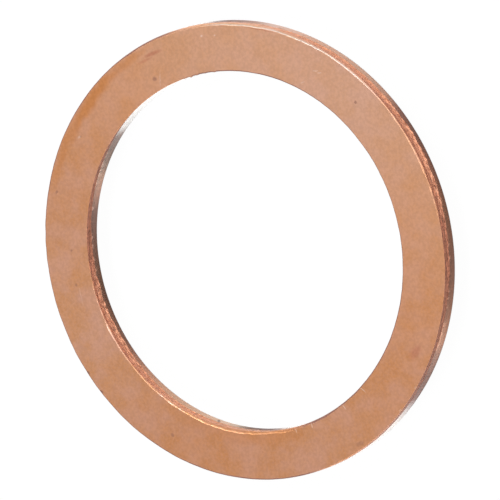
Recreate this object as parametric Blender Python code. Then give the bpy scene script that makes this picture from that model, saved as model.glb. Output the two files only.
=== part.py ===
"""A flat copper sealing ring, as it lies on a bench with its burr face up.

The ring is blanked and pierced from strip in one stroke, so its rim and its bore have the same sheared
edge. From the underside up, that edge is a die roll, a burnished land, a fracture that leans away from
the land, and a burr that tumbling has rounded off. The whole ring is one turned section.
"""

from math import cos, pi, radians, sin

import bmesh
import bpy

# Driving sizes, in metres
BORE_DIAMETER = 0.030
BAND_WIDTH = 0.004
THICKNESS = 0.002

# The sheared edge, in metres, from the underside up
ROLL_WIDTH = 0.0004
ROLL_HEIGHT = 0.0004
LAND_HEIGHT = 0.0009
FRACTURE_LEAN = 0.00007
BURR_RADIUS = 0.0001

# How finely the round forms are divided
TURN_STEPS = 176
ROLL_STEPS = 5
BURR_STEPS = 3
SMOOTH_ANGLE = radians(32)

# The rim lies one band's width outside the bore, all round
RIM_DIAMETER = BORE_DIAMETER + 2 * BAND_WIDTH

# Annealed copper, straight from the tumbler
COPPER_COLOUR = (0.58, 0.29, 0.165, 1.0)
COPPER_ROUGHNESS = 0.42


def clear_scene():
    for old in list(bpy.data.objects):
        bpy.data.objects.remove(old)


def sheared_edge():
    """Points up the cut edge, as (depth behind the land, height above the underside)."""
    roll = []
    for step in range(ROLL_STEPS + 1):
        turn = pi / 2 * step / ROLL_STEPS
        roll.append((ROLL_WIDTH * (1 - sin(turn)), ROLL_HEIGHT * (1 - cos(turn))))
    land_top = (0.0, ROLL_HEIGHT + LAND_HEIGHT)
    burr = []
    for step in range(BURR_STEPS + 1):
        turn = pi / 2 * step / BURR_STEPS
        depth = FRACTURE_LEAN + BURR_RADIUS * (1 - cos(turn))
        burr.append((depth, THICKNESS - BURR_RADIUS * (1 - sin(turn))))
    return roll + [land_top] + burr


def ring_section():
    """The closed section at +X: down the rim, in along the underside, up the bore and out along the top."""
    edge = sheared_edge()
    rim = [(RIM_DIAMETER / 2 - depth, height) for depth, height in reversed(edge)]
    bore = [(BORE_DIAMETER / 2 + depth, height) for depth, height in edge]
    return rim + bore


def turn_ring(name):
    """Turns the section once round Z and welds the last step to the first."""
    mesh = bpy.data.meshes.new(name)
    turned = bmesh.new()
    corners = [turned.verts.new((x, 0.0, z)) for x, z in ring_section()]
    edges = [turned.edges.new((a, b)) for a, b in zip(corners, corners[1:] + corners[:1])]
    bmesh.ops.spin(
        turned,
        geom=corners + edges,
        axis=(0, 0, 1),
        cent=(0, 0, 0),
        angle=2 * pi,
        steps=TURN_STEPS,
        use_merge=True,
    )
    bmesh.ops.recalc_face_normals(turned, faces=turned.faces)
    turned.to_mesh(mesh)
    turned.free()
    mesh.shade_smooth()
    mesh.set_sharp_from_angle(angle=SMOOTH_ANGLE)
    ring = bpy.data.objects.new(name, mesh)
    bpy.context.scene.collection.objects.link(ring)
    return ring


def copper():
    material = bpy.data.materials.new("annealed_copper")
    material.use_nodes = True
    surface = material.node_tree.nodes["Principled BSDF"]
    surface.inputs["Base Color"].default_value = COPPER_COLOUR
    surface.inputs["Metallic"].default_value = 1.0
    surface.inputs["Roughness"].default_value = COPPER_ROUGHNESS
    return material


clear_scene()
sealing_ring = turn_ring("sealing_ring")
sealing_ring.data.materials.append(copper())
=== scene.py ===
from math import cos, degrees, exp, pi, radians, sin

import bpy
import numpy as np
from mathutils import Matrix, Vector, noise


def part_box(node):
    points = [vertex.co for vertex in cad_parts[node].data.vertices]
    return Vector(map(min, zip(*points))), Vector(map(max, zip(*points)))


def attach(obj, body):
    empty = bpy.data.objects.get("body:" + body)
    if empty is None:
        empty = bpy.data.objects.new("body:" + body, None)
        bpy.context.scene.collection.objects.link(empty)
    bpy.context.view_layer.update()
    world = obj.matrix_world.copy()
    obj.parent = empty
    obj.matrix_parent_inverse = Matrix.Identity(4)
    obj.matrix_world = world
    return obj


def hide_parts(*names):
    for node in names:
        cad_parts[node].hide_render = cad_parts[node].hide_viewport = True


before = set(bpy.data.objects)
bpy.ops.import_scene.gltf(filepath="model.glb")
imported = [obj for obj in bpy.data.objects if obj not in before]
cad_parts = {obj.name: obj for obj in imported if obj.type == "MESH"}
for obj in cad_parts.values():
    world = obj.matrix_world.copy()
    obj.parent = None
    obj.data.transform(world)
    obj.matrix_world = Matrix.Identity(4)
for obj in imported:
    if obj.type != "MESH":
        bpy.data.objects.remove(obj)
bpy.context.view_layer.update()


# The sealing ring: one piece of soft copper, blanked and pierced from strip in a single stroke of the
# press. The stroke leaves a burnished band and a torn band round both cut edges. Tumbling then rounded
# the burrs and gave the faces their satin skin. The ring lies loose, with its burrs up.

MM = 0.001
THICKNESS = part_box("sealing_ring")[1].z
RIM_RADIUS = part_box("sealing_ring")[1].x
BORE_RADIUS = min(corner.co.xy.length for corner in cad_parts["sealing_ring"].data.vertices)

# The burr: how much its size wavers, the waves' lengths, and how much of it is a flat slope, not a curve
BURR_WAVER = 0.30
BURR_WAVES = (3.0 * MM, 0.7 * MM)
BURR_SLOPE = 0.75

# The tear: how rough its scales and their grain are, how high its foot is jagged, and the jags' lengths
TEAR_RELIEF = 0.045 * MM
SCALE_SIZE = 0.60 * MM
GRAIN_SIZE = 0.24 * MM
GRAIN_SHARE = 0.6
JAG_HEIGHT = 0.11 * MM
JAG_WAVES = (1.1 * MM, 0.4 * MM)
FINE_JAGS = 0.7

# The die roll that rounds the underside's edge
ROLL_WIDTH = 0.40 * MM
ROLL_HEIGHT = 0.40 * MM

# How large the tumbled burr is: (turn in degrees, mm)
RIM_BURR = (
    (20, 0.12),
    (200, 0.12),
    (216, 0.07),
    (262, 0.05),
    (265, 0.11),
    (271, 0.11),
    (273, 0.06),
    (275, 0.12),
    (284, 0.12),
    (286, 0.06),
    (290, 0.11),
    (292, 0.07),
    (296, 0.08),
    (300, 0.12),
    (325, 0.17),
    (345, 0.20),
)
BORE_BURR = (
    (35, 0.10),
    (48, 0.06),
    (80, 0.07),
    (86, 0.10),
    (88, 0.05),
    (90, 0.10),
    (92, 0.05),
    (94, 0.10),
    (96, 0.06),
    (98, 0.13),
    (102, 0.14),
    (104, 0.08),
    (114, 0.08),
    (118, 0.12),
    (124, 0.14),
    (128, 0.11),
    (131, 0.17),
    (136, 0.16),
    (150, 0.23),
    (175, 0.23),
    (200, 0.13),
)

# Spurs left on the bore's top edge: (turn, half the width in degrees, reach in mm)
BORE_SPURS = (
    (358.3, 0.40, 0.13),
    (356.0, 0.50, 0.05),
    (353.0, 0.40, 0.04),
    (349.5, 0.50, 0.05),
    (0.6, 0.30, 0.04),
)
SPUR_DROP = 0.30 * MM

# The tear's own form: (share of the way down it, depth behind the land in mm)
TEAR_FORM = ((0.0, 0.0), (0.40, 0.035), (0.80, 0.035), (1.0, 0.0))

# Where the tear is shorter than this it is also smoother. Then, how far below the burr it always reaches,
# and the height of the step from its foot to the land.
WHOLE_TEAR = 0.95 * MM
LEAST_TEAR = 0.02 * MM
TEAR_STEP = 0.01 * MM

# How far down the tear runs: (turn in degrees, depth in mm below the top face, how jagged its foot is)
RIM_TEAR = (
    (20, 0.85, 0.6),
    (90, 0.70, 0.8),
    (150, 0.60, 0.5),
    (200, 0.68, 0.5),
    (212, 0.66, 0.4),
    (228, 0.60, 0.4),
    (240, 0.74, 0.4),
    (250, 0.84, 0.5),
    (262, 0.92, 0.9),
    (277, 1.12, 1.5),
    (288, 1.04, 1.5),
    (300, 0.98, 0.8),
    (325, 0.85, 0.5),
    (342, 0.60, 0.5),
)
BORE_TEAR = (
    (20, 0.13, 0.1),
    (28, 0.25, 0.3),
    (36, 0.45, 0.3),
    (48, 0.55, 0.15),
    (60, 0.66, 0.15),
    (72, 0.82, 0.5),
    (84, 0.98, 1.4),
    (94, 1.04, 1.3),
    (107, 1.14, 0.8),
    (120, 0.95, 0.6),
    (135, 0.80, 0.4),
    (150, 0.90, 0.4),
    (162, 0.85, 0.4),
    (170, 0.78, 0.4),
    (180, 0.55, 0.4),
    (230, 0.80, 0.8),
    (310, 0.70, 0.6),
    (345, 0.13, 0.1),
)

# How finely the ring is divided, round it and along each part of its section, and how sharp a crease is
TURN_STEPS = 1560
BURR_STEPS = 6
TEAR_STEPS = 13
LAND_SHARES = (0.50, 0.995, 1.0)
ROLL_STEPS = 4
TOP_SHARES = (0.012, 0.25, 0.50, 0.75, 0.988)
UNDER_STEPS = 2
CREASE = radians(40)


def around(turn, wave, seed):
    """Smooth noise that meets itself once round the rim, where its bumps are one wave long."""
    reach = RIM_RADIUS / wave
    return noise.noise(Vector((reach * cos(turn), reach * sin(turn), seed)))


def burr_at(turn, burrs, seed):
    """How far the rounded burr reaches from the corner."""
    turns, sizes = zip(*burrs)
    size = np.interp(degrees(turn), turns, sizes, period=360) * MM
    waver = around(turn, BURR_WAVES[0], seed) + around(turn, BURR_WAVES[1], seed + 1.1)
    return size * (1 + BURR_WAVER * waver)


def tear_at(turn, tears, seed):
    """How far below the top face the torn band ends."""
    turns, depths, raggedness = zip(*tears)
    depth = np.interp(degrees(turn), turns, depths, period=360) * MM
    jag = np.interp(degrees(turn), turns, raggedness, period=360) * JAG_HEIGHT
    jags = around(turn, JAG_WAVES[0], seed + 3.3) + FINE_JAGS * around(turn, JAG_WAVES[1], seed + 7.7)
    return depth + jag * jags


def spur_at(turn, height):
    """How far the spurs stand into the bore at one place."""
    reach = 0.0
    for middle, half, size in BORE_SPURS:
        away = (degrees(turn) - middle + 180) % 360 - 180
        reach += size * MM * exp(-((away / half) ** 2))
    return reach * max(0.0, 1 - (THICKNESS - height) / SPUR_DROP)


def torn_relief(turn, radius, height):
    """The roughness of the torn band, from -1 to 1: flat scales with finer grains on them."""
    spot = Vector((radius * cos(turn), radius * sin(turn), 2 * height))
    return noise.noise(spot / SCALE_SIZE) + GRAIN_SHARE * noise.noise(spot / GRAIN_SIZE)


def burr_points(burr):
    """Points down the burr, as (depth behind the land, height)."""
    points = []
    for step in range(BURR_STEPS + 1):
        share = step / BURR_STEPS
        depth = (1 - share) * BURR_SLOPE + (1 - sin(pi / 2 * share)) * (1 - BURR_SLOPE)
        drop = share * BURR_SLOPE + (1 - cos(pi / 2 * share)) * (1 - BURR_SLOPE)
        points.append((burr * depth, THICKNESS - burr * drop))
    return points


def tear_points(turn, radius, burr_foot, tear_foot):
    """Points down the torn band, as (depth behind the land, height)."""
    opened = min(1.0, (THICKNESS - tear_foot) / WHOLE_TEAR) ** 2
    shares, forms = zip(*TEAR_FORM)
    points = []
    for step in range(1, TEAR_STEPS + 1):
        share = step / TEAR_STEPS
        height = burr_foot + (tear_foot - burr_foot) * share
        depth = np.interp(share, shares, forms) * MM
        rough = min(1.0, 3 * share) * TEAR_RELIEF * torn_relief(turn, radius, height)
        points.append((max(opened * (depth + rough), 0.0), height))
    return points + [(0.0, tear_foot - TEAR_STEP)]


def cut_edge(turn, radius, burrs, tears, seed):
    """Points down one cut edge, from the top to the underside, as (depth behind the land, height)."""
    burr = burr_at(turn, burrs, seed)
    burr_foot = THICKNESS - burr
    tear_foot = min(THICKNESS - tear_at(turn, tears, seed), burr_foot - LEAST_TEAR)
    points = burr_points(burr) + tear_points(turn, radius, burr_foot, tear_foot)
    for share in LAND_SHARES:
        points.append((0.0, tear_foot + (ROLL_HEIGHT - tear_foot) * share))
    for step in range(1, ROLL_STEPS + 1):
        lean = pi / 2 * step / ROLL_STEPS
        points.append((ROLL_WIDTH * (1 - cos(lean)), ROLL_HEIGHT * (1 - sin(lean))))
    return points


RIM_SEED = 11.0
BORE_SEED = 47.0


def ring_section(turn):
    """The closed section at one turn, as (radius, height): down the rim, under, up the bore, over."""
    outer = cut_edge(turn, RIM_RADIUS, RIM_BURR, RIM_TEAR, RIM_SEED)
    inner = cut_edge(turn, BORE_RADIUS, BORE_BURR, BORE_TEAR, BORE_SEED)
    rim = [(RIM_RADIUS - depth, height) for depth, height in outer]
    bore = [(BORE_RADIUS + depth - spur_at(turn, height), height) for depth, height in inner]
    under = []
    for step in range(1, UNDER_STEPS):
        share = step / UNDER_STEPS
        under.append((rim[-1][0] * (1 - share) + bore[-1][0] * share, 0.0))
    top = []
    for share in TOP_SHARES:
        top.append((bore[0][0] * (1 - share) + rim[0][0] * share, THICKNESS))
    return rim + under + list(reversed(bore)) + top


ROWS_DOWN = BURR_STEPS + TEAR_STEPS + 1 + len(LAND_SHARES) + ROLL_STEPS


def steps_down(row):
    """How many steps below the top face a row of the section lies on its own cut edge, or none."""
    if row <= ROWS_DOWN:
        return row
    up = 2 * ROWS_DOWN + UNDER_STEPS - row
    return up if 0 <= up <= ROWS_DOWN else None


def face_finish(row):
    """Which finish the faces below a row of the section wear: 0 tumbled, 1 torn, 2 burnished."""
    ends = (steps_down(row), steps_down(row + 1))
    if None in ends or max(ends) <= BURR_STEPS or min(ends) == ROWS_DOWN:
        return 0
    return 1 if max(ends) <= BURR_STEPS + TEAR_STEPS + 1 else 2


def down_the_tear(row):
    """How far down the torn band a row lies: 0 at the burr's foot and above, 1 at the land and below."""
    down = steps_down(row)
    return 0.0 if down is None else min(max((down - BURR_STEPS) / TEAR_STEPS, 0.0), 1.0)


def set_round(sections, turns):
    """The corners of all the sections, each turned to its own place round the axis."""
    radius, height = sections[:, :, 0], sections[:, :, 1]
    cosines, sines = np.cos(turns)[:, None], np.sin(turns)[:, None]
    return np.stack([radius * cosines, radius * sines, height], 2).reshape(-1, 3).tolist()


def quads_between(step, row, rows):
    """The faces that join each section to the next, and the last to the first."""
    here, ahead = step * rows, (step + 1) % TURN_STEPS * rows
    below = (row + 1) % rows
    return np.stack([here + row, here + below, ahead + below, ahead + row], 2).reshape(-1, 4).tolist()


STRIPS = 3
STRIP_GAP = 0.002


def unroll(mesh, sections, step, row):
    """Lays the skin out flat, a third of the turn to each strip, so that a map keeps its fine grain."""
    closed = np.concatenate([sections.mean(0), sections.mean(0)[:1]])
    along = np.concatenate([[0], np.cumsum(np.linalg.norm(np.diff(closed, axis=0), axis=1))])
    along /= along[-1]
    steps_each = TURN_STEPS // STRIPS
    strip, start = step // steps_each, step % steps_each
    left, right = start / steps_each, (start + 1) / steps_each
    low, high = along[row], along[row + 1]
    u = np.stack([left, left, right, right], 2)
    v = np.stack([low, high, high, low], 2)
    u = STRIP_GAP + u * (1 - 2 * STRIP_GAP)
    v = (strip[:, :, None] + STRIP_GAP + v * (1 - 2 * STRIP_GAP)) / STRIPS
    places = mesh.uv_layers.new(name="OFBake")
    places.data.foreach_set("uv", np.stack([u, v], 3).ravel())


def turned_ring(name, finishes):
    """The ring itself: its sections set round the axis, joined, finished and unrolled."""
    turns = [2 * pi * step / TURN_STEPS for step in range(TURN_STEPS)]
    sections = np.array([ring_section(turn) for turn in turns])
    rows = sections.shape[1]
    step, row = np.meshgrid(np.arange(TURN_STEPS), np.arange(rows), indexing="ij")
    mesh = bpy.data.meshes.new(name)
    mesh.from_pydata(set_round(sections, turns), [], quads_between(step, row, rows))
    for finish in finishes:
        mesh.materials.append(finish)
    finish_each = [face_finish(index) for index in range(rows)]
    mesh.polygons.foreach_set("material_index", np.tile(finish_each, TURN_STEPS))
    tear_each = [down_the_tear(index) for index in range(rows)]
    tear = mesh.attributes.new("tear", "FLOAT", "POINT")
    tear.data.foreach_set("value", np.tile(tear_each, TURN_STEPS))
    mesh.shade_smooth()
    mesh.set_sharp_from_angle(angle=CREASE)
    unroll(mesh, sections, step, row)
    ring = bpy.data.objects.new(name, mesh)
    bpy.context.scene.collection.objects.link(ring)
    return ring


def node(tree, kind, feeds=None, **settings):
    """Adds a shader node, feeds its inputs with values or with other nodes' outputs, and returns it."""
    made = tree.nodes.new("ShaderNode" + kind)
    for name, value in settings.items():
        setattr(made, name, value)
    for socket, value in (feeds or {}).items():
        if isinstance(value, bpy.types.NodeSocket):
            tree.links.new(value, made.inputs[socket])
        else:
            made.inputs[socket].default_value = value
    return made


def copper(name, roughness):
    """A bare copper finish: its material, its node tree and its shader."""
    finish = bpy.data.materials.new(name)
    finish.use_nodes = True
    shader = finish.node_tree.nodes["Principled BSDF"]
    shader.inputs["Metallic"].default_value = 1.0
    shader.inputs["Roughness"].default_value = roughness
    return finish, finish.node_tree, shader


def grain(tree, place, size, detail=2.0):
    """Noise whose blotches are about one size across, from 0 to 1."""
    feeds = {"Vector": place, "Scale": 1 / size, "Detail": detail, "Roughness": 0.5}
    return node(tree, "TexNoise", feeds).outputs["Fac"]


def ramp(tree, value, low, high, start=0.0, end=1.0):
    """Smoothly carries a value from start, at low, to end, at high."""
    feeds = {"Value": value, "From Min": low, "From Max": high, "To Min": start, "To Max": end}
    return node(tree, "MapRange", feeds, interpolation_type="SMOOTHSTEP").outputs["Result"]


def sums(tree, operation, first, second=0.0):
    return node(tree, "Math", {0: first, 1: second}, operation=operation).outputs[0]


def product(tree, first, second):
    return sums(tree, "MULTIPLY", first, second)


def tint(tree, share, under, over):
    """One colour laid over another, by a share from 0 to 1."""
    feeds = {"Factor": share, "A": under, "B": over}
    return node(tree, "Mix", feeds, data_type="RGBA").outputs[2]


UNCHANGED = (1, 1, 1, 1)


def layered(tree, first, second):
    return node(tree, "VectorMath", {0: first, 1: second}, operation="MULTIPLY").outputs[0]


def shaded(tree, colour, shade):
    return node(tree, "VectorMath", {0: colour, "Scale": shade}, operation="SCALE").outputs[0]


def bumps(tree, relief, height):
    """Shading for a fine relief, which stands one height where it is 1."""
    feeds = {"Height": relief, "Strength": 1.0, "Distance": height}
    return node(tree, "Bump", feeds).outputs["Normal"]


# The line midway between the rim and the bore, along which marks are placed
MIDDLE_RADIUS = (RIM_RADIUS + BORE_RADIUS) / 2


def radius_of(tree, parts):
    """Distance from the ring's axis, of a place split into X, Y and Z."""
    squares = [product(tree, parts[axis], parts[axis]) for axis in "XY"]
    return sums(tree, "SQRT", sums(tree, "ADD", *squares))


def share_of_turn(tree, y, x):
    """The direction of a point as a share of a full turn from +X."""
    turn = sums(tree, "DIVIDE", sums(tree, "ARCTAN2", y, x), 2 * pi)
    return sums(tree, "FRACT", sums(tree, "ADD", turn, 1.0))


def on_rim(tree, parts):
    """1 on the rim's side of the middle line and 0 on the bore's side."""
    return sums(tree, "GREATER_THAN", radius_of(tree, parts), MIDDLE_RADIUS)


def outward(tree, parts, axis):
    """How far along an axis the cut edge faces: as the place lies on the rim, and against it on the bore."""
    side = sums(tree, "SUBTRACT", product(tree, on_rim(tree, parts), 2.0), 1.0)
    return product(tree, side, parts[axis])


def bearing(tree, parts):
    """Which way the cut edge faces, as a share of a full turn from +X."""
    return share_of_turn(tree, outward(tree, parts, "Y"), outward(tree, parts, "X"))


def tones(tree, share, stops):
    """A colour that changes with a share: each stop is (degrees of a full turn, colour or grey)."""
    band = node(tree, "ValToRGB", {"Fac": share})
    steps = band.color_ramp.elements
    steps.remove(steps[1])
    for index, (angle, colour) in enumerate(stops):
        step = steps.new(angle / 360) if index else steps[0]
        step.position = angle / 360
        step.color = (*colour, 1) if isinstance(colour, tuple) else (colour, colour, colour, 1)
    return band.outputs["Color"]


def rim_and_bore(tree, parts, share, rim_stops, bore_stops):
    """Tones that differ between the rim and the bore."""
    return tint(tree, on_rim(tree, parts), tones(tree, share, bore_stops), tones(tree, share, rim_stops))


def laid_flat(tree, place, wander):
    """The place on the ring as (distance round, radius, height), moved a little so that outlines wander."""
    parts = node(tree, "SeparateXYZ", {"Vector": place}).outputs
    turn = sums(tree, "ARCTAN2", parts["Y"], parts["X"])
    feeds = {"X": product(tree, turn, MIDDLE_RADIUS), "Y": radius_of(tree, parts), "Z": parts["Z"]}
    flat = node(tree, "CombineXYZ", feeds)
    feeds = {"Vector": place, "Scale": 1 / (3 * wander), "Detail": 2.0}
    noisy = node(tree, "TexNoise", feeds).outputs["Color"]
    centred = node(tree, "VectorMath", {0: noisy, 1: (0.5, 0.5, 0.5)}, operation="SUBTRACT").outputs[0]
    moved = node(tree, "VectorMath", {0: centred, "Scale": 2 * wander}, operation="SCALE").outputs[0]
    return node(tree, "VectorMath", {0: flat.outputs[0], 1: moved}, operation="ADD").outputs[0]


def mark(tree, flat, turn, radius, length, width, slant=0.0, soft=0.5):
    """A spot or streak: 1 inside it and 0 outside. Turn and slant in degrees, the rest in mm."""
    turn = (turn + 180) % 360 - 180
    feeds = {
        "Vector": flat,
        "Location": (radians(turn) * MIDDLE_RADIUS, radius * MM, THICKNESS),
        "Rotation": (0, 0, radians(slant)),
        "Scale": (length / 2 * MM, width / 2 * MM, 1.0),
    }
    inside = node(tree, "Mapping", feeds, vector_type="TEXTURE").outputs[0]
    reach = node(tree, "VectorMath", {0: inside}, operation="LENGTH").outputs["Value"]
    return ramp(tree, reach, 1 - soft, 1 + soft, 1.0, 0.0)


def marks(tree, flat, places, soft):
    """Several spots or streaks together: (turn, radius, length, width, slant, strength) each."""
    total = None
    for turn, radius, length, width, slant, strength in places:
        spot = mark(tree, flat, turn, radius, length, width, slant, soft)
        spot = product(tree, spot, strength)
        total = spot if total is None else sums(tree, "MAXIMUM", total, spot)
    return total


# The tumbled skin's mottling by size, its colours, the side toward which painted light makes it palest, and
# how its
# tone shifts round the ring: (turn in degrees, times the colour). These shifts, and the tones of the cut
# edges below, were set by measuring the photograph's colours beside the render's, so they hold some of its
# light too.
CLOUD_SIZE = 2.4 * MM
BLUSH_SIZE = 0.7 * MM
FLECK_SIZE = 0.18 * MM
SATIN_SIZE = 0.24 * MM
TUMBLED = (0.590, 0.290, 0.160, 1)
TUMBLED_PINK = (0.600, 0.305, 0.200, 1)
TUMBLED_ORANGE = (0.575, 0.262, 0.122, 1)
TUMBLED_PAINTED_LIGHT = (0.660, 0.390, 0.270, 1)
PAINTED_LIGHT_SIDE = radians(322)
SKIN_TONES = (
    (0, (1.04, 1.03, 0.98)),
    (15, (1.04, 0.985, 0.88)),
    (45, (1.02, 1.00, 0.95)),
    (97, (1.02, 1.06, 1.10)),
    (120, (1.00, 1.00, 1.00)),
    (142, (0.98, 0.94, 0.88)),
    (185, (1.00, 1.00, 1.00)),
    (232, (1.04, 1.00, 0.93)),
    (270, (1.055, 1.015, 0.94)),
    (290, (1.06, 1.07, 1.08)),
    (305, (1.07, 1.11, 1.18)),
    (318, (1.07, 1.09, 1.12)),
    (340, (1.06, 1.06, 1.04)),
    (360, (1.04, 1.03, 0.98)),
)

# A painted highlight makes the burr paler where it faces the light: the depths below the top face between
# which the burr begins and the highlight fades out, and its tone by the way the edge faces
BURR_DEPTHS = (0.002 * MM, 0.015 * MM)
HIGHLIGHT_FADES = (0.030 * MM, 0.140 * MM)
RIM_PAINTED_HIGHLIGHT = (
    (0, 1.0),
    (296, 1.0),
    (306, (1.05, 1.40, 1.75)),
    (320, (1.08, 1.58, 2.05)),
    (345, (1.08, 1.60, 2.10)),
    (352, 1.0),
)
BORE_PAINTED_HIGHLIGHT = (
    (0, 1.0),
    (270, 1.0),
    (282, (1.02, 1.12, 1.25)),
    (310, (1.04, 1.15, 1.25)),
    (320, (1.22, 1.32, 1.32)),
    (348, (1.32, 1.40, 1.40)),
    (356, 1.0),
)

# A painted dark reflection makes a darker line along the top edge on the rim's side at +Y and the bore's at
# -Y, on the burr. It deepens between these depths below the top face.
PAINTED_DARK_EDGE = (0.330, 0.180, 0.145, 1)
DARK_EDGE_DEPTHS = (0.001 * MM, 0.012 * MM)
DARK_EDGE_BLEND = 1.5 * MM

# The dents that the tumbling left in the burr, and how high the skin's relief stands
DENT_SIZE = 0.30 * MM
SKIN_RELIEF = 0.012 * MM

# Marks on the top face: (turn in degrees, radius, length, width in mm, slant in degrees, strength). The
# orange stains wander farther from their outlines than the rest.
MARK_WANDER = 0.08 * MM
STAIN_WANDER = 0.45 * MM
PITS = (
    (10.6, 16.01, 0.44, 0.36, 10, 0.6),
    (41.1, 17.50, 0.20, 0.12, 0, 0.5),
    (58.4, 18.14, 0.30, 0.22, 30, 0.5),
    (74.0, 16.50, 0.22, 0.18, 0, 0.5),
    (84.0, 16.55, 0.30, 0.16, 0, 0.5),
    (300.6, 17.16, 0.28, 0.24, 0, 0.7),
    (135.8, 17.42, 0.34, 0.26, 20, 0.45),
    (195.2, 18.57, 0.80, 0.34, 10, 0.35),
    (106.8, 18.90, 0.30, 0.26, 90, 1.0),
    (112.7, 18.90, 0.30, 0.26, 90, 1.0),
)
SCRATCHES_AND_GLINTS = (
    (87.5, 16.40, 1.80, 0.07, 2, 0.3),
    (41.5, 17.62, 0.34, 0.20, 20, 0.5),
    (315.3, 17.15, 0.50, 0.09, -35, 0.9),
    (314.0, 17.19, 0.40, 0.08, -30, 0.8),
    (317.9, 15.69, 0.45, 0.08, -40, 0.8),
    (8.9, 15.80, 1.35, 0.07, 302, 0.6),
    (206.1, 15.32, 0.60, 0.09, 80, 0.9),
    (197.2, 15.32, 0.55, 0.09, 85, 0.8),
    (183.8, 15.32, 0.55, 0.09, 95, 0.8),
    (177.8, 15.30, 0.45, 0.08, 90, 0.7),
    # The next six, on the burr's edge, are painted glints, not scratches
    (99.7, 15.08, 0.90, 0.12, 0, 0.5),
    (126.8, 15.10, 0.60, 0.12, 0, 0.4),
    (131.5, 15.10, 1.00, 0.12, 0, 0.4),
    (134.9, 15.10, 0.25, 0.16, 0, 0.6),
    (217.8, 18.93, 0.30, 0.12, 0, 0.4),
    (210.4, 18.93, 0.25, 0.12, 0, 0.5),
    (351.5, 18.07, 0.20, 0.16, 0, 1.0),
    (347.5, 18.00, 0.18, 0.16, 0, 0.9),
)
RED_STAINS = (
    (7.6, 17.95, 1.50, 0.30, 4, 0.60),
    (10.6, 17.74, 1.30, 0.22, 4, 0.40),
    (226.1, 17.61, 1.20, 0.70, 15, 0.5),
    (334.0, 18.76, 2.00, 0.09, 0, 0.6),
    (345.0, 18.78, 0.40, 0.09, 0, 0.5),
)
ORANGE_STAINS = (
    (31.0, 18.38, 7.00, 0.85, -3, 0.9),
    (46.0, 18.45, 5.60, 0.65, 0, 0.55),
    (16.0, 18.50, 4.00, 0.70, 0, 0.50),
    (165.0, 15.50, 16.00, 1.10, 0, 0.35),
)
PIT_BROWN = (0.300, 0.150, 0.110, 1)
SCRATCH_AND_GLINT_PALE = (0.760, 0.500, 0.380, 1)
STAIN_RED = (0.480, 0.170, 0.100, 1)
STAIN_ORANGE = (0.580, 0.230, 0.080, 1)


def on_burr(tree, parts, depths):
    """1 on the rounded burr, rising between two depths below the top face, and 0 on the face."""
    depth = sums(tree, "SUBTRACT", THICKNESS, parts["Z"])
    upper = sums(tree, "LESS_THAN", depth, THICKNESS / 2)
    return product(tree, ramp(tree, depth, *depths), upper)


def mottled_skin(tree, place, parts):
    """The skin without its marks: clouds, blushes and flecks, painted light toward one side, and the tones
    round the ring.
    """
    clouds = ramp(tree, grain(tree, place, CLOUD_SIZE, 4.0), 0.38, 0.62)
    blush = ramp(tree, grain(tree, place, BLUSH_SIZE, 3.0), 0.38, 0.62)
    fleck = ramp(tree, grain(tree, place, FLECK_SIZE, 2.0), 0.36, 0.64)
    colour = tint(tree, clouds, TUMBLED_ORANGE, TUMBLED_PINK)
    colour = tint(tree, product(tree, blush, 0.4), colour, TUMBLED)
    colour = tint(tree, product(tree, fleck, 0.32), colour, TUMBLED_PINK)
    # Painted light: the skin grows paler toward one side, as if lit from there
    toward = (cos(PAINTED_LIGHT_SIDE) / RIM_RADIUS, sin(PAINTED_LIGHT_SIDE) / RIM_RADIUS, 0)
    side = node(tree, "VectorMath", {0: place, 1: toward}, operation="DOT_PRODUCT").outputs["Value"]
    colour = tint(tree, ramp(tree, side, -0.2, 1.0, 0.0, 0.45), colour, TUMBLED_PAINTED_LIGHT)
    return layered(tree, colour, tones(tree, share_of_turn(tree, parts["Y"], parts["X"]), SKIN_TONES))


def marked_skin(tree, place, colour):
    """The skin's colour with its stains, pits, scratches and painted glints, and how deep all but the stains
    are sunk.
    """
    flat = laid_flat(tree, place, MARK_WANDER)
    loose = laid_flat(tree, place, STAIN_WANDER)
    colour = tint(tree, marks(tree, loose, ORANGE_STAINS, 0.7), colour, STAIN_ORANGE)
    colour = tint(tree, marks(tree, flat, RED_STAINS, 0.6), colour, STAIN_RED)
    pits = marks(tree, flat, PITS, 0.4)
    scratches_and_glints = marks(tree, flat, SCRATCHES_AND_GLINTS, 0.4)
    colour = tint(tree, pits, colour, PIT_BROWN)
    colour = tint(tree, scratches_and_glints, colour, SCRATCH_AND_GLINT_PALE)
    return colour, sums(tree, "ADD", pits, product(tree, scratches_and_glints, 0.4))


def highlighted_burr(tree, parts, burr, colour):
    """The colour, paler where a highlight is painted on the burr."""
    highlight_tone = rim_and_bore(tree, parts, bearing(tree, parts), RIM_PAINTED_HIGHLIGHT, BORE_PAINTED_HIGHLIGHT)
    depth = sums(tree, "SUBTRACT", THICKNESS, parts["Z"])
    highlighted_share = product(tree, burr, ramp(tree, depth, *HIGHLIGHT_FADES, 1.0, 0.0))
    return layered(tree, colour, tint(tree, highlighted_share, UNCHANGED, highlight_tone))


def dark_edge_share(tree, parts):
    """How much painted dark reflection lies on the burr at a place."""
    away_side = ramp(tree, outward(tree, parts, "Y"), -DARK_EDGE_BLEND, DARK_EDGE_BLEND)
    return product(tree, away_side, on_burr(tree, parts, DARK_EDGE_DEPTHS))


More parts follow.
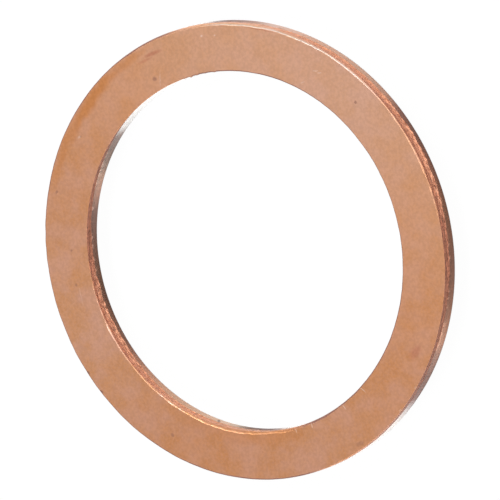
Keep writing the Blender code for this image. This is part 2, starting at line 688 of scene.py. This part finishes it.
def tumbled_copper():
    """The satin skin of the two faces, the burrs and the die roll."""
    finish, tree, shader = copper("tumbled_copper", 0.30)
    place = node(tree, "TexCoord").outputs["Object"]
    parts = node(tree, "SeparateXYZ", {"Vector": place}).outputs
    colour, sunk = marked_skin(tree, place, mottled_skin(tree, place, parts))
    satin = grain(tree, place, SATIN_SIZE)
    colour = shaded(tree, colour, ramp(tree, satin, 0.3, 0.7, 0.925, 1.035))
    burr = on_burr(tree, parts, BURR_DEPTHS)
    colour = highlighted_burr(tree, parts, burr, colour)
    # Painted dark reflection on the far side's burr, in its colour and its specular tint
    dark_edge = dark_edge_share(tree, parts)
    tree.links.new(tint(tree, dark_edge, colour, PAINTED_DARK_EDGE), shader.inputs["Base Color"])
    tree.links.new(tint(tree, dark_edge, UNCHANGED, PAINTED_DARK_EDGE), shader.inputs["Specular Tint"])
    roughness = sums(tree, "ADD", ramp(tree, satin, 0.3, 0.7, 0.28, 0.32), product(tree, dark_edge, 0.25))
    tree.links.new(roughness, shader.inputs["Roughness"])
    dents = product(tree, grain(tree, place, DENT_SIZE, 1.0), product(tree, burr, 2.0))
    raised = sums(tree, "ADD", product(tree, satin, 0.27), dents)
    relief = sums(tree, "SUBTRACT", raised, sunk)
    tree.links.new(bumps(tree, relief, SKIN_RELIEF), shader.inputs["Normal"])
    return finish


# The tear's tone by the way it faces, with some of the photograph's light in it: (direction in degrees, times
# the colour)
TEAR_TONES = (
    (0, (0.70, 0.69, 0.64)),
    (190, (0.90, 0.85, 0.85)),
    (203, (0.64, 0.56, 0.56)),
    (214, (0.46, 0.41, 0.43)),
    (222, (0.49, 0.43, 0.45)),
    (230, (0.55, 0.49, 0.50)),
    (240, (0.57, 0.51, 0.52)),
    (250, (0.60, 0.51, 0.50)),
    (260, (0.69, 0.58, 0.57)),
    (270, (0.86, 0.77, 0.73)),
    (290, (0.85, 0.75, 0.70)),
    (300, (0.92, 0.83, 0.77)),
    (310, (0.97, 0.91, 0.85)),
    (320, (1.00, 0.90, 0.78)),
    (330, (0.97, 0.98, 0.92)),
    (340, (0.92, 0.99, 1.00)),
    (346, (0.69, 0.70, 0.67)),
    (352, (0.60, 0.59, 0.54)),
)

# Its colours, painted glint and shade among them, and the sizes of its raised scales, its speckle and its
# drawn streaks
TORN_GLINT = (1.000, 0.540, 0.350, 1)
TORN_MID = (0.620, 0.290, 0.180, 1)
TORN_SHADE = (0.420, 0.160, 0.090, 1)
TORN_SCALE = 0.30 * MM
TORN_SPECKLE = 0.44 * MM
TORN_STREAK = 0.30 * MM
TORN_RELIEF = 0.040 * MM

# Where painted glints lie on its foot and painted shade darkens its top, by the way it faces, and how the
# bore's tear fades from its top to its foot
GLINT_TONES = ((0, 0.15), (225, 0.05), (254, 0.05), (265, 1.0), (292, 1.0), (300, 0.15))
TEAR_SHADE_TONES = ((0, 0.4), (205, 0.0), (254, 0.0), (268, 1.0), (294, 1.0), (306, 0.4), (360, 0.4))
BORE_FADE = (1.15, 0.90)


def glinted_and_shaded_tear(tree, squashed, facing):
    """The tear's colours, before its tones: painted glints at its foot and painted shade at its top."""
    down = node(tree, "Attribute", attribute_name="tear").outputs["Fac"]
    speckle = grain(tree, squashed, TORN_SPECKLE)
    foot = ramp(tree, down, 0.35, 0.80, 0.12, 1.0)
    glint_share = product(tree, foot, tones(tree, facing, GLINT_TONES))
    bright = product(tree, ramp(tree, speckle, 0.46, 0.56), glint_share)
    # Painted shade darkens the tear's top
    dark = ramp(tree, sums(tree, "ADD", down, product(tree, speckle, 0.8)), 0.40, 1.05, 1.0, 0.0)
    dark = product(tree, dark, tones(tree, facing, TEAR_SHADE_TONES))
    colour = tint(tree, dark, tint(tree, bright, TORN_MID, TORN_GLINT), TORN_SHADE)
    return colour, ramp(tree, down, 0.10, 0.65, *BORE_FADE)


def torn_copper():
    """The band where the metal tore off: rough scales, with streaks drawn across them."""
    finish, tree, shader = copper("torn_copper", 0.38)
    place = node(tree, "TexCoord").outputs["Object"]
    parts = node(tree, "SeparateXYZ", {"Vector": place}).outputs
    facing = bearing(tree, parts)
    squashed = node(tree, "Mapping", {"Vector": place, "Scale": (1, 1, 2)}).outputs[0]
    drawn = node(tree, "Mapping", {"Vector": place, "Scale": (1, 1, 0.2)}).outputs[0]
    colour, fade = glinted_and_shaded_tear(tree, squashed, facing)
    colour = shaded(tree, colour, ramp(tree, grain(tree, drawn, TORN_STREAK), 0.35, 0.65, 0.89, 1.11))
    colour = layered(tree, colour, tones(tree, facing, TEAR_TONES))
    colour = layered(tree, colour, tint(tree, on_rim(tree, parts), fade, UNCHANGED))
    tree.links.new(colour, shader.inputs["Base Color"])
    scales = grain(tree, squashed, TORN_SCALE, 1.5)
    tree.links.new(bumps(tree, scales, TORN_RELIEF), shader.inputs["Normal"])
    return finish


# The burnished band shines like a mirror. In the photograph it is white, beige, brown or slate-grey by the
# way it faces, most likely from what it mirrors there. These tones lay that on as colour: (direction in
# degrees, colour).
RIM_LAND = (
    (0, (0.86, 0.72, 0.62)),
    (12, (0.56, 0.34, 0.24)),
    (176, (0.56, 0.34, 0.24)),
    (186, (0.90, 0.79, 0.71)),
    (206, (0.90, 0.78, 0.70)),
    (210, (0.53, 0.39, 0.36)),
    (214, (0.345, 0.18, 0.145)),
    (221, (0.395, 0.205, 0.155)),
    (226, (0.68, 0.405, 0.315)),
    (231, (0.93, 0.53, 0.365)),
    (236, (0.77, 0.425, 0.295)),
    (241, (0.57, 0.305, 0.21)),
    (250, (0.455, 0.24, 0.17)),
    (262, (0.38, 0.185, 0.115)),
    (272, (0.335, 0.155, 0.10)),
    (284, (0.22, 0.10, 0.07)),
    (291, (0.24, 0.11, 0.08)),
    (297, (0.43, 0.23, 0.155)),
    (304, (0.495, 0.295, 0.205)),
    (320, (0.56, 0.315, 0.21)),
    (332, (0.565, 0.35, 0.26)),
    (337, (0.58, 0.40, 0.30)),
    (341, (0.52, 0.39, 0.32)),
    (346, (0.235, 0.14, 0.11)),
    (350, (0.33, 0.24, 0.20)),
    (354, (0.86, 0.72, 0.62)),
)
BORE_LAND = (
    (0, (0.86, 0.72, 0.62)),
    (12, (0.56, 0.34, 0.24)),
    (176, (0.56, 0.34, 0.24)),
    (186, (0.98, 0.94, 0.90)),
    (212, (0.98, 0.94, 0.90)),
    (215, (0.44, 0.32, 0.28)),
    (222, (0.44, 0.305, 0.25)),
    (227, (0.60, 0.43, 0.35)),
    (231, (0.95, 0.645, 0.495)),
    (236, (0.98, 0.61, 0.47)),
    (242, (0.525, 0.345, 0.285)),
    (252, (0.405, 0.23, 0.175)),
    (262, (0.315, 0.17, 0.115)),
    (270, (0.245, 0.125, 0.085)),
    (278, (0.29, 0.145, 0.095)),
    (285, (0.25, 0.125, 0.085)),
    (290, (0.33, 0.16, 0.105)),
    (297, (0.49, 0.25, 0.16)),
    (306, (0.525, 0.30, 0.19)),
    (320, (0.565, 0.35, 0.23)),
    (330, (0.64, 0.42, 0.285)),
    (335, (0.37, 0.27, 0.185)),
    (340, (0.225, 0.165, 0.125)),
    (346, (0.21, 0.135, 0.10)),
    (350, (0.45, 0.295, 0.22)),
    (354, (0.86, 0.72, 0.62)),
)

# Where the band is whitest, a clear coat over the copper stands for the white that it mirrors
CLEAR_ROUGHNESS = 0.15
CLEAR_IOR = 3.2
CLEAR_TONES = ((0, 1.0), (12, 0.0), (176, 0.0), (186, 1.0), (210, 1.0), (213, 0.0), (349, 0.0), (354, 1.0))

# Where the band darkens toward its top, by the way it faces, by how much, and between which heights
TOP_SHADE = 0.70
TOP_SHADES = ((0, 0.0), (209, 0.0), (216, 1.0), (248, 1.0), (262, 0.0))
TOP_HEIGHTS = (0.65 * MM, 1.35 * MM)

# Its sheen by the way it faces, dulled to slate where a dark reflection is painted, and the fine streaks that
# run down it
SLATE_REFLECTION = (0.60, 0.50, 0.50)
SHEEN_REFLECTION_TONES = ((0, 1.0), (333, 1.0), (338, SLATE_REFLECTION), (347, SLATE_REFLECTION), (351, 1.0))
STREAK_WIDTH = 0.12 * MM
STREAK_STRETCH = 0.08
STREAK_RELIEF = 0.0008 * MM
STREAK_WANDER = 0.01

# A dark scrape on the bore's band and a speck on the rim's: turn, height of the middle, length and width in
# mm, slant in degrees
SCRAPE = (147.1, 0.88, 0.78, 0.24, 62)
SPECK = (-162.6, 1.00, 0.22, 0.12, 70)
SCRAPE_BROWN = (0.220, 0.130, 0.090, 1)


def scraped(tree, parts, radius, place):
    """1 in a scrape on the wall of one radius and 0 beside it."""
    turn, height, length, width, slant = place
    along = product(tree, sums(tree, "ARCTAN2", parts["Y"], parts["X"]), radius)
    flat = node(tree, "CombineXYZ", {"X": along, "Y": parts["Z"]}).outputs[0]
    feeds = {
        "Vector": flat,
        "Location": (radians(turn) * radius, height * MM, 0),
        "Rotation": (0, 0, radians(slant)),
        "Scale": (length / 2 * MM, width / 2 * MM, 1.0),
    }
    inside = node(tree, "Mapping", feeds, vector_type="TEXTURE").outputs[0]
    reach = node(tree, "VectorMath", {0: inside}, operation="LENGTH").outputs["Value"]
    return ramp(tree, reach, 0.6, 1.4, 1.0, 0.0)


def burnished_copper():
    """The smooth band that the tool rubbed as it went through, streaked up and down."""
    finish, tree, shader = copper("burnished_copper", 0.18)
    place = node(tree, "TexCoord").outputs["Object"]
    parts = node(tree, "SeparateXYZ", {"Vector": place}).outputs
    drawn = node(tree, "Mapping", {"Vector": place, "Scale": (1, 1, STREAK_STRETCH)}).outputs[0]
    streaks = grain(tree, drawn, STREAK_WIDTH, 3.0)
    wander = product(tree, sums(tree, "SUBTRACT", streaks, 0.5), STREAK_WANDER)
    facing = sums(tree, "ADD", bearing(tree, parts), wander)
    colour = rim_and_bore(tree, parts, facing, RIM_LAND, BORE_LAND)
    colour = shaded(tree, colour, ramp(tree, streaks, 0.35, 0.65, 0.94, 1.06))
    top = product(tree, ramp(tree, parts["Z"], *TOP_HEIGHTS), tones(tree, facing, TOP_SHADES))
    colour = shaded(tree, colour, ramp(tree, top, 0.0, 1.0, 1.0, TOP_SHADE))
    scrape = scraped(tree, parts, BORE_RADIUS, SCRAPE)
    speck = scraped(tree, parts, RIM_RADIUS, SPECK)
    colour = tint(tree, tint(tree, on_rim(tree, parts), scrape, speck), colour, SCRAPE_BROWN)
    tree.links.new(colour, shader.inputs["Base Color"])
    tree.links.new(tones(tree, facing, SHEEN_REFLECTION_TONES), shader.inputs["Specular Tint"])
    tree.links.new(tones(tree, facing, CLEAR_TONES), shader.inputs["Coat Weight"])
    shader.inputs["Coat Roughness"].default_value = CLEAR_ROUGHNESS
    shader.inputs["Coat IOR"].default_value = CLEAR_IOR
    tree.links.new(bumps(tree, streaks, STREAK_RELIEF), shader.inputs["Normal"])
    return finish


sealing_ring = turned_ring("stamped_ring", (tumbled_copper(), torn_copper(), burnished_copper()))
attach(sealing_ring, "root")
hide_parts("sealing_ring")


# The bench top: a plain white sheet, a hair below the ring that lies on it. It shows nearly white to the
# camera, keeps the ring's light shadow, and is mirrored a little brighter than the light alone makes it.

BENCH_SIZE = 2.0
BENCH_GAP = 0.005 * MM
BENCH_WHITE = (0.80, 0.80, 0.80, 1)
BENCH_SEEN = 0.975
BENCH_SHINE = 0.15


def bench_white():
    finish = bpy.data.materials.new("bench_white")
    finish.use_nodes = True
    tree = finish.node_tree
    tree.nodes.clear()
    rays = node(tree, "LightPath").outputs
    seen = sums(tree, "MAXIMUM", rays["Is Camera Ray"], rays["Is Transmission Ray"])
    mirrored = product(tree, rays["Is Glossy Ray"], BENCH_SHINE)
    share = sums(tree, "MAXIMUM", product(tree, seen, BENCH_SEEN), mirrored)
    lit = node(tree, "BsdfDiffuse", {"Color": BENCH_WHITE}).outputs[0]
    plain = node(tree, "Emission", {"Strength": 1.0}).outputs[0]
    mixed = node(tree, "MixShader", {0: share, 1: lit, 2: plain}).outputs[0]
    node(tree, "OutputMaterial", {"Surface": mixed})
    return finish


bpy.ops.mesh.primitive_plane_add(size=BENCH_SIZE, location=(0, 0, -BENCH_GAP))
bench = bpy.context.object
bench.name = "bench"
bench.data.materials.append(bench_white())


# The light: a plain pale room, with two soft panels beyond the ring that aren't mirrored in it, and two
# strips, at the front and at one side, that are.

ROOM_LEVEL = 0.28
ROOM_SEEN = 1.0
ROOM_SHINE = 0.94
PANEL_DISTANCE = 0.5


def pale_room():
    room = bpy.data.worlds.new("pale_room")
    room.use_nodes = True
    tree = room.node_tree
    rays = node(tree, "LightPath").outputs
    seen = sums(tree, "MAXIMUM", rays["Is Camera Ray"], rays["Is Transmission Ray"])
    level = sums(tree, "MULTIPLY_ADD", seen, ROOM_SEEN - ROOM_LEVEL)
    level.node.inputs[2].default_value = ROOM_LEVEL
    shine = product(tree, rays["Is Glossy Ray"], ROOM_SHINE)
    tree.links.new(sums(tree, "MAXIMUM", level, shine), tree.nodes["Background"].inputs["Strength"])
    tree.nodes["Background"].inputs["Color"].default_value = (1, 1, 1, 1)
    bpy.context.scene.world = room


def panel(name, azimuth, elevation, width, height, power, mirrored):
    """A soft panel that faces the ring; its azimuth runs from +X to +Y, in degrees."""
    light = bpy.data.lights.new(name, "AREA")
    light.shape = "RECTANGLE"
    light.size, light.size_y = width, height
    light.energy = power
    lamp = bpy.data.objects.new(name, light)
    bpy.context.scene.collection.objects.link(lamp)
    a, e = radians(azimuth), radians(elevation)
    back = Vector((cos(a) * cos(e), sin(a) * cos(e), sin(e)))
    lamp.location = back * PANEL_DISTANCE
    lamp.rotation_mode = "QUATERNION"
    lamp.rotation_quaternion = back.to_track_quat("Z", "Y")
    lamp.visible_glossy = mirrored
    return lamp


pale_room()
panel("right_panel", 24, 45, 0.20, 0.20, 2.4, mirrored=False)
panel("left_panel", 118, 45, 0.20, 0.20, 3.4, mirrored=False)
panel("front_strip", 296, 36, 0.42, 0.12, 0.34, mirrored=True)
panel("side_strip", 8, 45, 0.50, 0.10, 0.92, mirrored=True)


# The camera: it looks down on the ring at the photograph's angle, turned as the photograph is, through a
# long lens from nearly two metres away.

IMAGE_SIDE = 500
PIXELS_PER_MM = 12.196
CAMERA_TILT = radians(32.16)
CAMERA_ROLL = radians(-108.28)
CAMERA_DISTANCE = 1.85
RING_PIXEL = (243.57, 251.80)

turned = Matrix.Rotation(CAMERA_TILT, 4, "X") @ Matrix.Rotation(CAMERA_ROLL, 4, "Z")
right, up, back = (Vector(turned.col[axis][:3]) for axis in range(3))
pixel = MM / PIXELS_PER_MM
aim = Vector((0, 0, THICKNESS))
aim += right * (IMAGE_SIDE / 2 - RING_PIXEL[0]) * pixel
aim += up * (RING_PIXEL[1] - IMAGE_SIDE / 2) * pixel
eye = bpy.data.cameras.new("camera")
eye.lens = eye.sensor_width * CAMERA_DISTANCE / (IMAGE_SIDE * pixel)
eye.clip_start, eye.clip_end = 0.1, 10.0
camera = bpy.data.objects.new("camera", eye)
camera.matrix_world = Matrix.Translation(aim + back * CAMERA_DISTANCE) @ turned
bpy.context.scene.collection.objects.link(camera)
bpy.context.scene.camera = camera
bpy.context.scene.view_settings.view_transform = "Standard"
